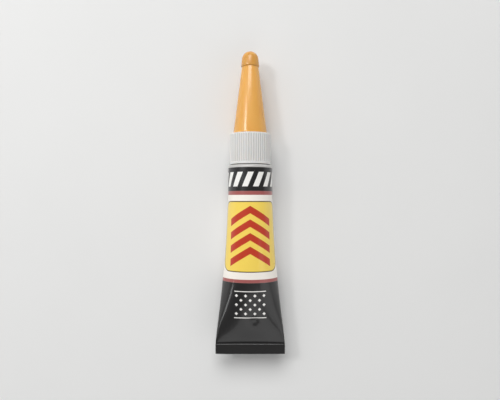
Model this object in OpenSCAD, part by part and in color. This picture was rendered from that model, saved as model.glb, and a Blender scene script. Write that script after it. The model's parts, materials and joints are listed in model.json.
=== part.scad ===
// Collapsible glue tube with a screwed nozzle and a pull-off cap, lying on its side.
// Every piece is drawn upright, round the tube's own axis: heights count from the top edge of the
// barrel, the cap is towards +Z and the printed front is towards -Y. lie_down() then puts the barrel
// on the ground with the cap towards +Y and the front upwards.

/* [Barrel and body] */
// Outer diameter of the round barrel
barrel_d = 13.5; // [12.8:0.1:18]
// Wall thickness of the aluminium
wall = 0.13; // [0.1:0.01:0.2]
// Length of barrel that stays truly round below the shoulder
barrel_len = 8.5; // [5:0.5:14]
// Length from the top edge of the barrel to the tail fold
body_len = 53.7; // [40:0.1:80]
// How late the body starts to widen
widen_power = 2; // [1.6:0.1:2.6]
// How gently the widening ends at the tail
ease_power = 1.4; // [1.2:0.1:1.6]
// How square the flattened section becomes at the tail
tail_squareness = 0.7; // [0.4:0.05:0.75]

/* [Tail fold] */
// Height of the folded strip
fold_h = 3.4; // [2.5:0.1:5]
// Air gap between the layers of the fold
fold_gap = 0.06; // [0.04:0.01:0.1]

/* [Shoulder and neck] */
// Radius of the rounded shoulder edge
shoulder_round = 0.7; // [0.4:0.1:1]
// Slope of the shoulder in degrees
shoulder_slope = 10; // [6:1:14]
// Thickness of the shoulder metal
shoulder_t = 0.6; // [0.4:0.05:0.8]
// Outer diameter of the neck over its thread
neck_d = 7; // [6:0.1:7.6]
// Height of the neck above the shoulder
neck_h = 6; // [5:0.1:6.6]
// Diameter of the way out through the neck
neck_bore_d = 4.4; // [3.4:0.1:4.8]
// Width of the ledge that the neck seal lies on
seal_ledge = 0.45; // [0.3:0.05:0.6]
// Thickness of the neck seal
seal_t = 0.1; // [0.06:0.01:0.2]

/* [Nozzle collar] */
// How far the ribs of the collar stand in from the barrel
collar_inset = 0.5; // [0.2:0.05:0.7]
// Height of the collar
collar_h = 9.2; // [8.8:0.1:12]
// Gap between the collar and the shoulder
collar_gap = 0.4; // [0.3:0.05:0.8]
// Number of grip ribs round the collar
rib_count = 52; // [36:1:60]
// How far a rib stands out
rib_h = 0.18; // [0.12:0.01:0.22]
// Height of the plain rim below the ribs
rim_h = 0.5; // [0.3:0.1:1]
// Radius of the rounded top edge of the collar
collar_round = 0.45; // [0.3:0.05:0.6]
// Wall of the collar's outer skirt
skirt_wall = 0.95; // [0.8:0.05:1.1]
// Wall of the inner sleeve that takes the neck
sleeve_wall = 0.95; // [0.8:0.05:1.1]
// Thickness of the web that joins skirt, sleeve and spout
web_t = 1.4; // [1:0.1:1.8]
// Thickness of the sealing washer above the neck
washer_t = 0.4; // [0.3:0.05:0.6]

/* [Nozzle spout] */
// Diameter of the boss that holds the cap
boss_d = 7.8; // [7.2:0.1:7.9]
// Height of the boss
boss_h = 3.5; // [3:0.1:4.5]
// Diameter at the foot of the spout
spout_foot_d = 5.4; // [4.8:0.1:5.8]
// Diameter at the tip of the spout
spout_tip_d = 2.3; // [2:0.1:2.6]
// Diameter of the way through the spout
spout_bore_d = 1.4; // [1.1:0.1:1.6]
// Diameter of the hole at the tip
orifice_d = 0.8; // [0.76:0.02:1]
// Length of the narrow hole at the tip
orifice_len = 5; // [4.2:0.1:7]
// Length of the hollow pricker above the neck seal
pricker_len = 1.3; // [1:0.1:1.6]
// Diameter at the tip of the pricker
pricker_tip_d = 1.9; // [1.7:0.1:2.2]
// Diameter at the root of the pricker
pricker_root_d = 2.6; // [2.3:0.1:3]

/* [Cap] */
// Diameter of the cone at its foot
cap_foot_d = 10.3; // [10:0.1:11]
// Diameter of the cone at its top
cap_top_d = 5.1; // [4.9:0.1:5.5]
// Length of the cone
cap_len = 20.4; // [16:0.1:26]
// Wall of the cone
cap_wall = 0.9; // [0.7:0.05:1]
// Thickness of the cone's top
cap_top_t = 1.05; // [0.8:0.05:1.4]
// Radius of the rounded foot of the cone
cap_round = 0.2; // [0.1:0.05:0.3]

/* [Stopper pin] */
// Diameter of the tip where it sits on the cone
tip_foot_d = 5.6; // [5.2:0.1:6]
// Diameter of the tip where its dome starts
tip_dome_d = 5; // [4.6:0.1:5.4]
// Height of the tip below the dome
tip_band_h = 2.8; // [2:0.1:4]
// Height of the dome
tip_dome_h = 2; // [1.6:0.1:2.3]
// Diameter of the shank in the cone's top
shank_d = 3; // [2.4:0.1:3.2]
// Diameter of the needle
needle_d = 0.66; // [0.5:0.02:0.7]
// Length of needle inside the orifice
needle_reach = 3.2; // [2:0.1:4.4]

/* [Filling] */
// Depth of the glue that lies in the barrel
glue_depth = 6.3; // [4.5:0.1:8]
// Length of the sealing bead in the tail
sealant_len = 3; // [2:0.1:5]

/* [Clearances] */
// Radial clearance of the thread on the neck
thread_clear = 0.05; // [0.03:0.01:0.1]
// Radial clearance of the cap on its boss
cap_clear = 0.05; // [0.03:0.01:0.1]
// Radial clearance of a piece that is pressed or bonded in
seat_clear = 0.02; // [0.01:0.01:0.04]
// Gap between faces that rest on each other
seat_gap = 0.05; // [0.03:0.01:0.1]
// Gap between pieces that come close without touching
free_gap = 0.35; // [0.25:0.05:0.45]
// Gap between the filling and the metal round it
fill_gap = 0.08; // [0.05:0.01:0.12]

/* [Hidden] */
$fn = 96;
ring_points = 48;
ring_count = 18;
girth_steps = 45;
solver_steps = 26;
overcut = 1;

barrel_r = barrel_d / 2;
bore_r = barrel_r - wall;
neck_r = neck_d / 2;
neck_bore_r = neck_bore_d / 2;
neck_foot = shoulder_height(neck_r);
neck_top = neck_foot + neck_h;
seal_seat_r = neck_bore_r + seal_ledge;

collar_r = barrel_r - collar_inset;
collar_root_r = collar_r - rib_h;
collar_bottom = shoulder_round + collar_gap;
collar_top = collar_bottom + collar_h;
skirt_r = collar_root_r - skirt_wall;
socket_r = neck_r + thread_clear;
sleeve_r = socket_r + sleeve_wall;
washer_bottom = neck_top + seat_gap;
washer_top = washer_bottom + washer_t;
socket_top = washer_top + seat_gap;
pricker_tip = neck_top + free_gap / 2;
pricker_root = pricker_tip + pricker_len;

boss_r = boss_d / 2;
boss_top = collar_top + boss_h;
cap_bottom = collar_top + seat_gap;
cap_top = cap_bottom + cap_len;
cap_ceiling = cap_top - cap_top_t;
cap_socket_r = boss_r + cap_clear;
cap_socket_top = boss_top + free_gap;
spout_tip = cap_ceiling - free_gap;
shank_r = shank_d / 2;
tip_top = cap_top + tip_band_h + tip_dome_h;
needle_tip = spout_tip - needle_reach;

tail_len = body_len - barrel_len;
tail_half_w = PI * barrel_r / 2;
seam_step = wall / 6;
ply = 2 * wall;
fold_pitch = ply + fold_gap;
bend_r = (fold_pitch + ply) / 2;
fold_bottom = -body_len - fold_h;
bottom_bend = fold_bottom + bend_r;
top_bend = -body_len - fold_gap - bend_r;
middle_y = -(tip_top + fold_bottom) / 2;

// Height of the sloping shoulder at a radius
function shoulder_height(r) = shoulder_round + (barrel_r - shoulder_round - r) * tan(shoulder_slope);

// Radius of the cap's outer cone at a height
function cone_r(h) = cap_foot_d / 2 + (cap_top_d - cap_foot_d) / 2 * (h - cap_bottom) / cap_len;

// The body runs from the round barrel (share 0) to the flat tail (share 1). The metal can't stretch, so
// each section keeps the barrel's girth: its width follows a smooth law, its thickness is solved for.
function flatness(s) = 1 - pow(1 - pow(s, widen_power), ease_power);
function section_power(s) = 1 - tail_squareness * pow(s, 4);
function section_x(s, a) = barrel_r * ((1 - flatness(s)) * cos(a) + flatness(s) * PI * (90 - a) / 180);
function section_y(s, a, half_t) = half_t * pow(max(0, sin(a)), section_power(s));
function section_point(s, a, half_t) = [section_x(s, a), section_y(s, a, half_t)];
function half_girth(s, half_t) =
    let (step = 180 / girth_steps)
    let (points = [for (i = [0 : girth_steps]) section_point(s, i * step, half_t)])
    let (runs = [for (i = [1 : girth_steps]) norm(points[i] - points[i - 1])])
    runs * [for (run = runs) 1];
barrel_girth = half_girth(0, barrel_r);
function solve_thickness(s, low, high, steps) =
    let (middle = (low + high) / 2)
    steps == 0 ? middle
    : half_girth(s, middle) < barrel_girth ? solve_thickness(s, middle, high, steps - 1)
    : solve_thickness(s, low, middle, steps - 1);
function half_thickness(s) = max(wall, solve_thickness(s, 0, barrel_r, solver_steps));

// One ring of points round the body, drawn in from the outer face by an inset
function ring(s, half_t, inset) =
    let (half_w = section_x(s, 0))
    [for (i = [0 : ring_points - 1])
        let (a = i * 360 / ring_points)
        let (side = a <= 180 ? 1 : -1)
        let (point = section_point(s, a <= 180 ? a : 360 - a, half_t))
        let (x = point[0] * (half_w - inset) / half_w)
        let (y = side * point[1] * (half_t - inset) / half_t)
        [x, y, -barrel_len - s * tail_len]];

// Shares at which the rings lie, closer together towards the tail, and where the inner space ends
shares = [for (i = [0 : ring_count]) sin(90 * i / ring_count)];
thicknesses = [for (s = shares) half_thickness(s)];
inner_rings = [for (i = [0 : ring_count]) if (thicknesses[i] > ply) i];
inner_end = shares[inner_rings[len(inner_rings) - 1]];

// Rings from one share to another, both included, for what fills the body
function rings_between(first, last, inset) =
    let (spare = 0.1 / ring_count)
    let (inside = [for (s = shares) if (s > first + spare && s < last - spare) s])
    [for (s = concat([first], inside, [last])) ring(s, half_thickness(s), inset)];

// Triangles between one ring and the next, and over the end of a stack of rings
function wall_faces(first) =
    [for (i = [0 : ring_points - 1], half = [0, 1])
        let (a = first + i)
        let (b = first + (i + 1) % ring_points)
        half == 0 ? [a, b, b + ring_points] : [a, b + ring_points, a + ring_points]];
function stack_faces(first, count) =
    joined([for (r = [0 : count - 2]) wall_faces(first + r * ring_points)]);
function end_faces(first) =
    [for (i = [0 : ring_points / 2 - 1], half = [0, 1])
        let (a = first + i)
        let (b = first + ring_points - i - 1)
        half == 0 ? [a, a + 1, b] : [a, b, first + (ring_points - i) % ring_points]];
function flipped(faces) = [for (f = faces) [f[2], f[1], f[0]]];
function joined(lists) = [for (list = lists, item = list) item];

module lie_down() {
    translate([0, middle_y, barrel_r]) rotate([-90, 0, 0]) children();
}

// A closed stack of rings
module ring_stack(rings) {
    polyhedron(
        points = joined(rings),
        faces = concat(
            stack_faces(0, len(rings)),
            flipped(end_faces(0)),
            end_faces((len(rings) - 1) * ring_points)));
}

// The thin wall of the body: an outer and an inner stack of rings, joined by a rim at the barrel. The
// first rings stand in by a hair, so that the flat facets meet the barrel inside its own round faces.
module body_wall() {
    outer = [for (i = [0 : ring_count]) ring(shares[i], thicknesses[i], i == 0 ? seam_step : 0)];
    inner = [for (i = inner_rings) ring(shares[i], thicknesses[i], i == 0 ? wall + seam_step : wall)];
    first = len(outer) * ring_points;
    rim = [for (i = [0 : ring_points - 1], half = [0, 1])
        let (j = (i + 1) % ring_points)
        half == 0 ? [i, first + j, j] : [i, first + i, first + j]];
    polyhedron(
        points = concat(joined(outer), joined(inner)),
        faces = concat(
            stack_faces(0, len(outer)),
            end_faces(first - ring_points),
            flipped(stack_faces(first, len(inner))),
            flipped(end_faces(first + (len(inner) - 1) * ring_points)),
            rim));
}

// Barrel, rounded shoulder and neck as one turned profile
module head_profile() {
    flat_r = barrel_r - shoulder_round;
    inner_foot = shoulder_height(bore_r) - shoulder_t;
    inner_neck = shoulder_height(neck_bore_r) - shoulder_t;
    difference() {
        union() {
            translate([0, -barrel_len]) square([barrel_r, barrel_len]);
            intersection() {
                translate([flat_r, 0]) circle(r = shoulder_round);
                square([barrel_r, shoulder_round]);
            }
            polygon([[0, 0], [flat_r, 0], [flat_r, shoulder_round], [neck_r, neck_foot], [0, neck_foot]]);
            translate([0, neck_foot]) square([neck_r, neck_h]);
        }
        polygon([
            [0, -barrel_len - overcut],
            [bore_r, -barrel_len - overcut],
            [bore_r, inner_foot],
            [neck_bore_r, inner_neck],
            [0, inner_neck]]);
        square([neck_bore_r, neck_top + overcut]);
        translate([0, neck_top - seal_t]) square([seal_seat_r, seal_t + overcut]);
    }
}

// Half a ring, where the flattened metal turns back on itself
module fold_bend() {
    difference() {
        circle(r = bend_r);
        circle(r = fold_gap / 2);
        translate([-overcut, 0]) square(2 * overcut);
    }
}

// The flattened end, rolled over twice towards the front
module fold_profile() {
    layer_h = top_bend - bottom_bend;
    translate([-ply / 2, bottom_bend]) square([ply, -body_len - bottom_bend]);
    translate([-fold_pitch * 0.5, bottom_bend]) fold_bend();
    translate([-fold_pitch - ply / 2, bottom_bend]) square([ply, layer_h]);
    translate([-fold_pitch * 1.5, top_bend]) rotate(180) fold_bend();
    translate([-fold_pitch * 2 - ply / 2, bottom_bend]) square([ply, layer_h]);
}

module tube() {
    color([0.96, 0.84, 0.42]) lie_down() {
        rotate_extrude() head_profile();
        body_wall();
        rotate([90, 0, 90]) linear_extrude(2 * tail_half_w, center = true) fold_profile();
    }
}

// The disc that closes the neck until it is pierced
module neck_seal() {
    color([0.8, 0.8, 0.8]) lie_down()
        translate([0, 0, neck_top - seal_t]) cylinder(r = seal_seat_r - seat_clear, h = seal_t);
}

// The bead of sealing compound in the flattened end
module tail_sealant() {
    end = inner_end - fill_gap / tail_len;
    start = end - sealant_len / tail_len;
    color([0.75, 0.7, 0.6]) lie_down() ring_stack(rings_between(start, end, wall + fill_gap));
}

// The glue, lying in the lower part of the tube
module adhesive() {
    end = inner_end - (sealant_len + 2 * fill_gap) / tail_len;
    inset = wall + fill_gap;
    pool_r = barrel_r - inset;
    pool_top = shoulder_height(pool_r) - shoulder_t - fill_gap;
    top_ring = [for (point = ring(0, barrel_r, inset)) [point[0], point[1], pool_top]];
    color([0.92, 0.92, 0.85]) intersection() {
        lie_down() ring_stack(concat([top_ring], rings_between(0, end, inset)));
        translate([-barrel_d, -body_len, 0]) cube([2 * barrel_d, 2 * body_len, wall + glue_depth]);
    }
}

// The soft ring between the neck and the nozzle, on which the nozzle turns
module nozzle_washer() {
    color([0.86, 0.86, 0.84]) lie_down() translate([0, 0, washer_bottom]) difference() {
        cylinder(r = neck_r, h = washer_t);
        translate([0, 0, -overcut]) cylinder(r = neck_bore_r, h = washer_t + 2 * overcut);
    }
}

// The collar's drum with its row of grip ribs and a rounded top edge
module ribbed_drum() {
    round_r = collar_r - collar_round;
    intersection() {
        translate([0, 0, collar_bottom]) {
            cylinder(r = collar_r, h = rim_h);
            linear_extrude(collar_h) {
                circle(r = collar_root_r);
                for (i = [0 : rib_count - 1])
                    rotate(i * 360 / rib_count) translate([collar_root_r, 0]) circle(r = rib_h);
            }
        }
        rotate_extrude() {
            translate([0, collar_bottom]) square([collar_r, collar_h - collar_round]);
            translate([0, collar_bottom]) square([round_r, collar_h]);
            translate([round_r, collar_top - collar_round]) circle(r = collar_round);
        }
    }
}

// The boss that holds the cap, and the tapered spout on it
module spout_profile() {
    translate([0, collar_top - web_t]) square([boss_r, web_t + boss_h]);
    polygon([[0, boss_top], [spout_foot_d / 2, boss_top], [spout_tip_d / 2, spout_tip], [0, spout_tip]]);
}

// The way through: pricker, spout and orifice
module way_through_profile() {
    square([orifice_d / 2, spout_tip + overcut]);
    square([spout_bore_d / 2, spout_tip - orifice_len]);
}

// What is hollow below the web: the room round the pricker, the neck's socket and the skirt's groove
module socket_profile() {
    mouth_h = collar_bottom + free_gap;
    square([neck_bore_r, pricker_tip]);
    polygon([
        [pricker_tip_d / 2, pricker_tip],
        [pricker_root_d / 2, pricker_root],
        [neck_bore_r, pricker_root],
        [neck_bore_r, pricker_tip]]);
    square([socket_r, socket_top]);
    square([skirt_r, mouth_h]);
    translate([sleeve_r, 0]) square([skirt_r - sleeve_r, collar_top - web_t]);
}

module nozzle() {
    color([0.93, 0.93, 0.92]) lie_down() difference() {
        union() {
            ribbed_drum();
            rotate_extrude() spout_profile();
        }
        rotate_extrude() socket_profile();
        rotate_extrude() way_through_profile();
    }
}

module cap_profile() {
    edge_r = cone_r(cap_bottom + cap_round);
    difference() {
        union() {
            intersection() {
                translate([edge_r - cap_round, cap_bottom + cap_round]) circle(r = cap_round);
                translate([0, cap_bottom]) square([edge_r, cap_round]);
            }
            translate([0, cap_bottom]) square([edge_r - cap_round, cap_round]);
            polygon([
                [0, cap_bottom + cap_round],
                [edge_r, cap_bottom + cap_round],
                [cap_top_d / 2, cap_top],
                [0, cap_top]]);
        }
        square([cap_socket_r, cap_socket_top]);
        polygon([
            [0, cap_socket_top],
            [cone_r(cap_socket_top) - cap_wall, cap_socket_top],
            [cone_r(cap_ceiling) - cap_wall, cap_ceiling],
            [0, cap_ceiling]]);
        square([shank_r + seat_clear, cap_top + overcut]);
    }
}

module cap() {
    color([0.93, 0.64, 0.3]) lie_down() rotate_extrude() cap_profile();
}

// The rounded tip, its shank in the cone's top and the needle that keeps the orifice open
module stopper_profile() {
    dome_foot = cap_top + tip_band_h;
    dome_r = tip_dome_d / 2;
    ball_r = (pow(dome_r, 2) + pow(tip_dome_h, 2)) / (2 * tip_dome_h);
    needle_r = needle_d / 2;
    polygon([[0, cap_top], [tip_foot_d / 2, cap_top], [dome_r, dome_foot], [0, dome_foot]]);
    intersection() {
        translate([0, tip_top - ball_r]) circle(r = ball_r);
        translate([0, dome_foot]) square([dome_r, tip_dome_h]);
    }
    translate([0, cap_ceiling]) square([shank_r, cap_top_t]);
    polygon([
        [0, needle_tip],
        [needle_r, needle_tip + needle_d],
        [needle_r, cap_ceiling],
        [0, cap_ceiling]]);
}

module stopper_pin() {
    color([0.86, 0.58, 0.28]) lie_down() rotate_extrude() stopper_profile();
}

tube();
neck_seal();
tail_sealant();
adhesive();
nozzle_washer();
nozzle();
cap();
stopper_pin();
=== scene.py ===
# %% [markdown]
# # A small glue tube and its finish
# The object is a collapsible aluminium tube with a ribbed nozzle screwed on its neck and a long
# orange cap pulled over the spout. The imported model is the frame: it holds every true size and place,
# and it stays as it is. Each piece is modelled here as its own mesh, in the same frame.

# %% Load the frame
import json
import math

import bmesh
import bpy
import numpy as np
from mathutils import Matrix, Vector


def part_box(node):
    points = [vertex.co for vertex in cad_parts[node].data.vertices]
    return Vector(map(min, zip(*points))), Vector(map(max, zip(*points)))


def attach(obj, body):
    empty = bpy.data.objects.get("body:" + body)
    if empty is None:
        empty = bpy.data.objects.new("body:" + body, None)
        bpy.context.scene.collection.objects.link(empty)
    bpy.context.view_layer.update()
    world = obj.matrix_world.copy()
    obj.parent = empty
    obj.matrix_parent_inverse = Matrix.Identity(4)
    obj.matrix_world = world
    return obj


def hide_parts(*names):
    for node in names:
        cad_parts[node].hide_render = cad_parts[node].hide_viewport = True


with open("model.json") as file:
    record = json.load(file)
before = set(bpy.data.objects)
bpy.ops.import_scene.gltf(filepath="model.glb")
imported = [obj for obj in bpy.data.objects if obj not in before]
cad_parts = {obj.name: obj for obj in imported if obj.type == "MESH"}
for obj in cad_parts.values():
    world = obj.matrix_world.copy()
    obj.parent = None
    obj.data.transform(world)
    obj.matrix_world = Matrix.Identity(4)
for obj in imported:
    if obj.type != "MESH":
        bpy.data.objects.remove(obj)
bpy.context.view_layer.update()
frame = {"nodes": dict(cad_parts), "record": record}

# %% [markdown]
# ## Sizes
# The tube lies along Y with its front upwards, and everything on it is turned about one axis. So every
# shape below is written in millimetres as (sideways, towards the front, height), with heights counted
# from the top edge of the barrel towards the cap. The frame's barrel mount and its boxes give the main
# sizes.

# %% Sizes from the frame
MM = 0.001
barrel = next(mount for mount in frame["record"]["mounts"] if mount["name"] == "barrel")
BARREL_R = barrel["dims"]["r_mm"]
BARREL_LEN = barrel["dims"]["length_mm"]
TOP_EDGE_Y = barrel["pos_m"][1] / MM + BARREL_LEN / 2
boxes = {node: np.array(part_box(node)) / MM for node in frame["nodes"]}


def heights_of(node):
    """Lowest and highest height of a node, in millimetres above the barrel's top edge."""
    return boxes[node][0][1] - TOP_EDGE_Y, boxes[node][1][1] - TOP_EDGE_Y


def half_width_of(node):
    """Half of a node's sideways size, which is its radius where it is round."""
    return boxes[node][1][0]


def in_frame(points):
    """Points given as (sideways, front, height) in millimetres, as places in the frame in metres."""
    sideways, front, height = np.moveaxis(np.asarray(points, float), -1, 0)
    return np.stack([sideways, TOP_EDGE_Y + height, BARREL_R + front], axis=-1) * MM


FOLD_BOTTOM, NECK_TOP = heights_of("tube")
print(f"barrel radius {BARREL_R:.2f} mm, neck top {NECK_TOP:.2f} mm, fold bottom {FOLD_BOTTOM:.2f} mm")

# %% [markdown]
# ## Camera
# The picture looks straight down on the front of the tube, with the cap at the top. Lines printed round
# the tube bow away from the middle of the picture, and how much they bow gives the distance. A camera
# could be aimed with a Track To constraint, but one with no turn already looks down with +Y at the top.

# %% Camera over the tube
CAMERA_HEIGHT = 149
CAMERA_SIDE = -0.06
CAMERA_ALONG = 0.87
LENS, SENSOR_W = 35, 36
NEAREST = 0.01

camera = bpy.data.objects.new("camera", bpy.data.cameras.new("camera"))
camera.data.lens = LENS
camera.data.sensor_width = SENSOR_W
camera.data.clip_start = NEAREST
camera.location = (CAMERA_SIDE * MM, CAMERA_ALONG * MM, (BARREL_R + CAMERA_HEIGHT) * MM)
bpy.context.scene.collection.objects.link(camera)
bpy.context.scene.camera = camera
bpy.context.scene.view_settings.view_transform = "Standard"
print("camera at", tuple(round(value, 4) for value in camera.location))

# %% [markdown]
# ## Making meshes from rings
# All the pieces here are stacks of rings: a turned piece is a profile swung round the axis, and the tube
# is a round ring that slowly becomes flat. Blender has Spin and Screw tools for this, but rings made one
# by one can carry ribs, a screw thread and the flattening, and they give full control of the UV map.

# %% Faces between rings
def ring_quads(rows, columns, looped):
    """Corner numbers of the faces between each ring and the next, all the way round."""
    row_starts = np.arange(rows if looped else rows - 1)
    row, column = np.meshgrid(row_starts, np.arange(columns), indexing="ij")
    row, column = row.ravel(), column.ravel()
    below, beside = (row + 1) % rows, (column + 1) % columns
    return np.stack([
        row * columns + column,
        row * columns + beside,
        below * columns + beside,
        below * columns + column], axis=1)


def end_quads(first, columns):
    """A flat end made of strips that join each point to its mirror point on the ring."""
    strips = np.arange(columns // 2 - 1)
    return first + np.stack([strips, strips + 1, columns - 2 - strips, columns - 1 - strips], axis=1)


def signed_volume(points, quads):
    """Volume in the frame's own units, which is negative where the faces look inwards."""
    a, b, c, d = (points[quads[:, k]] for k in range(4))
    pieces = np.einsum("ij,ij->i", a, np.cross(b, c)) + np.einsum("ij,ij->i", a, np.cross(c, d))
    return pieces.sum() / 6


print("three rings of eight points have", len(ring_quads(3, 8, False)), "faces between them")

# %% [markdown]
# The developed surface, the flat sheet that a tube unrolls to, can go along as a UV map. Where a ring
# closes, the last column of faces needs the far end of the sheet and not its start, or the whole print
# would be squeezed into that one column.

# %% One object from rings
def add_print_map(mesh, quads, print_map, columns, side_count):
    """Writes the developed surface as a UV map, with the seam's last column apart from its first."""
    row, column = quads // columns, quads % columns
    reach = column[:side_count].max(axis=1) - column[:side_count].min(axis=1)
    seam = np.zeros(len(quads), bool)
    seam[:side_count] = reach > columns // 2
    column = np.where(seam[:, None] & (column == 0), columns, column)
    layer = mesh.uv_layers.new(name="print")
    layer.data.foreach_set("uv", print_map[row, column].reshape(-1))


def ring_mesh(name, rings, looped=False, flat_ends=False, strip_materials=None, print_map=None):
    """One object from rings of points. print_map holds a (round, along) place for each ring and column."""
    rows, columns = rings.shape[:2]
    points = in_frame(rings).reshape(-1, 3)
    sides = ring_quads(rows, columns, looped)
    ends = np.empty((0, 4), int)
    if flat_ends:
        last_ring = (rows - 1) * columns
        ends = np.concatenate([end_quads(0, columns)[:, ::-1], end_quads(last_ring, columns)])
    quads = np.concatenate([sides, ends])
    volume = signed_volume(points, quads)
    if volume < 0:
        quads = quads[:, ::-1]
    mesh = bpy.data.meshes.new(name)
    mesh.from_pydata(points.tolist(), [], quads.tolist())
    if strip_materials is not None:
        side_materials = np.repeat(strip_materials, columns)
        end_materials = np.repeat([strip_materials[0], strip_materials[-1]], len(ends) // 2)
        mesh.polygons.foreach_set("material_index", np.concatenate([side_materials, end_materials]))
    if print_map is not None:
        add_print_map(mesh, quads, print_map, columns, len(sides))
    mesh.validate()
    piece = bpy.data.objects.new(name, mesh)
    bpy.context.scene.collection.objects.link(piece)
    print(f"{name}: {len(points)} points, {abs(volume) / MM ** 3:.1f} mm3")
    return piece


# %% Shading, poles and places in the frame
CREASE_ANGLE = math.radians(38)
POLE_REACH = MM / 5000


def merge_poles(piece):
    """Joins the points of a ring that has shrunk onto the axis."""
    shape = bmesh.new()
    shape.from_mesh(piece.data)
    bmesh.ops.remove_doubles(shape, verts=shape.verts, dist=POLE_REACH)
    shape.to_mesh(piece.data)
    shape.free()


def stand_for(piece, node, body):
    """Smooths a piece but for its sharp edges. It then stands for a node and rides on its body."""
    piece.data.shade_smooth()
    piece.data.set_sharp_from_angle(angle=CREASE_ANGLE)
    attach(piece, body)
    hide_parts(node)


print(f"edges that turn more than {math.degrees(CREASE_ANGLE):.0f} degrees stay sharp")

# %% [markdown]
# ## Profiles with rounded corners
# Moulded plastic has no knife edges: each corner carries its own small radius, which catches a line of
# light. A profile is written as (radius, height, corner radius), and each corner gets an arc. A Bevel
# modifier would do the same with less control.

# %% Rounded profiles
ARC_STEPS = 5


def corner_arc(before, here, after, radius):
    """Points of the arc that rounds one corner."""
    back, onward = before - here, after - here
    back, onward = back / np.linalg.norm(back), onward / np.linalg.norm(onward)
    half = math.acos(np.clip(back @ onward, -1, 1)) / 2
    centre = here + (back + onward) / np.linalg.norm(back + onward) * radius / math.sin(half)
    start = here + back * radius / math.tan(half) - centre
    finish = here + onward * radius / math.tan(half) - centre
    first = math.atan2(start[1], start[0])
    turn = math.remainder(math.atan2(finish[1], finish[0]) - first, 2 * math.pi)
    angles = first + turn * np.linspace(0, 1, ARC_STEPS + 1)
    return [centre + radius * np.array([math.cos(a), math.sin(a)]) for a in angles]


def rounded(corners, closed=False):
    """A profile of (radius, height) points through the given corners, each with its own rounding."""
    places = [np.array(corner[:2], float) for corner in corners]
    points = []
    for k, corner in enumerate(corners):
        inside = closed or 0 < k < len(corners) - 1
        if inside and len(corner) > 2:
            points += corner_arc(places[k - 1], places[k], places[(k + 1) % len(places)], corner[2])
        else:
            points.append(places[k])
    return np.array(points)


print("a rounded corner takes", ARC_STEPS, "steps")

# %% Turned rings
POINTS_ROUND = 128
ring_angles = -math.pi / 2 + 2 * math.pi * np.arange(POINTS_ROUND) / POINTS_ROUND


def swung(radius, height, angles):
    """Rings round the axis, from a radius for each row and point and a height for each row."""
    height = height[:, None] * np.ones(len(angles))
    return np.stack([radius * np.cos(angles), radius * np.sin(angles), height], axis=-1)


def turned(profile):
    """Rings of a (radius, height) profile that is the same all the way round."""
    profile = np.asarray(profile, float)
    return swung(profile[:, :1] * np.ones(POINTS_ROUND), profile[:, 1], ring_angles)


def spread_rows(radius, start, finish, count):
    """Profile rows of one radius between two heights, both ends left out."""
    heights = start + (finish - start) * np.linspace(0, 1, count + 2)[1:-1]
    return np.stack([np.full(count, radius), heights], axis=1)


print("a ring has", POINTS_ROUND, "points, counted from the back by way of +X")

# %% [markdown]
# ## Shaders written as sums
# The print on the tube is drawn by shader nodes, not by a picture. Nodes can be placed one by one, but a
# small class lets the graph be written as ordinary sums: each operation adds one Math node. Real surfaces
# are never even, so tone, gloss and relief all follow some noise.

# %% A number in a shader graph
BLUR = 0.05


class Wire:
    """One number in a shader graph. Sums with wires and plain numbers add Math nodes to it."""

    def __init__(self, tree, socket):
        self.tree = tree
        self.socket = socket

    def drive(self, socket):
        """Links the value to a socket."""
        self.tree.links.new(self.socket, socket)

    def math(self, operation, other=None, clamp=False):
        """A new wire that carries the result of one Math node."""
        node = self.tree.nodes.new("ShaderNodeMath")
        node.operation = operation
        node.use_clamp = clamp
        self.drive(node.inputs[0])
        if isinstance(other, Wire):
            other.drive(node.inputs[1])
        elif other is not None:
            node.inputs[1].default_value = other
        return Wire(self.tree, node.outputs[0])

    def __add__(self, other):
        return self.math("ADD", other)

    def __sub__(self, other):
        return self.math("SUBTRACT", other)

    def __mul__(self, other):
        return self.math("MULTIPLY", other)

    def __abs__(self):
        return self.math("ABSOLUTE")

    def least(self, other):
        """The smaller of two values."""
        return self.math("MINIMUM", other)

    def most(self, other):
        """The larger of two values."""
        return self.math("MAXIMUM", other)

    def clamped(self):
        """The value kept between 0 and 1."""
        return self.math("ADD", 0, clamp=True)

    def wrapped(self, pitch):
        """The place within a row of cells, from 0 to the pitch."""
        return self.math("FLOORED_MODULO", pitch)

    def below(self, limit, blur=BLUR):
        """1 where the value is under the limit and 0 where it is over, with a soft edge."""
        return (self * (-1 / blur) + (limit / blur + 0.5)).clamped()

    def between(self, low, high, blur=BLUR):
        """1 from the low limit to the high one, with soft edges."""
        return abs(self - (low + high) / 2).below((high - low) / 2, blur)


print("a wire can be added to, multiplied, wrapped, limited and clamped")

# %% Colours, materials and places
def srgb(red, green, blue):
    """A colour given as it looks on screen, 0 to 255, in the linear light that shaders use."""
    def linear(value):
        share = value / 255
        return share / 12.92 if share <= 0.04045 else ((share + 0.055) / 1.055) ** 2.4
    return linear(red), linear(green), linear(blue), 1


def new_material(name):
    """A material with one Principled shader, and its tree."""
    material = bpy.data.materials.new(name)
    material.use_nodes = True
    return material, material.node_tree, material.node_tree.nodes["Principled BSDF"]


def place_in_mm(tree, stretch=(1, 1, 1)):
    """The object's own coordinates in millimetres, stretched where a grain runs one way."""
    coordinates = tree.nodes.new("ShaderNodeTexCoord")
    mapping = tree.nodes.new("ShaderNodeMapping")
    mapping.inputs["Scale"].default_value = [share / MM for share in stretch]
    tree.links.new(coordinates.outputs["Object"], mapping.inputs["Vector"])
    return mapping.outputs["Vector"]


def split_place(tree, place):
    """The three numbers of a place, each as a wire."""
    split = tree.nodes.new("ShaderNodeSeparateXYZ")
    tree.links.new(place, split.inputs["Vector"])
    return [Wire(tree, split.outputs[axis]) for axis in "XYZ"]


print("middle grey on screen is", round(srgb(128, 128, 128)[0], 3), "in linear light")

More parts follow.
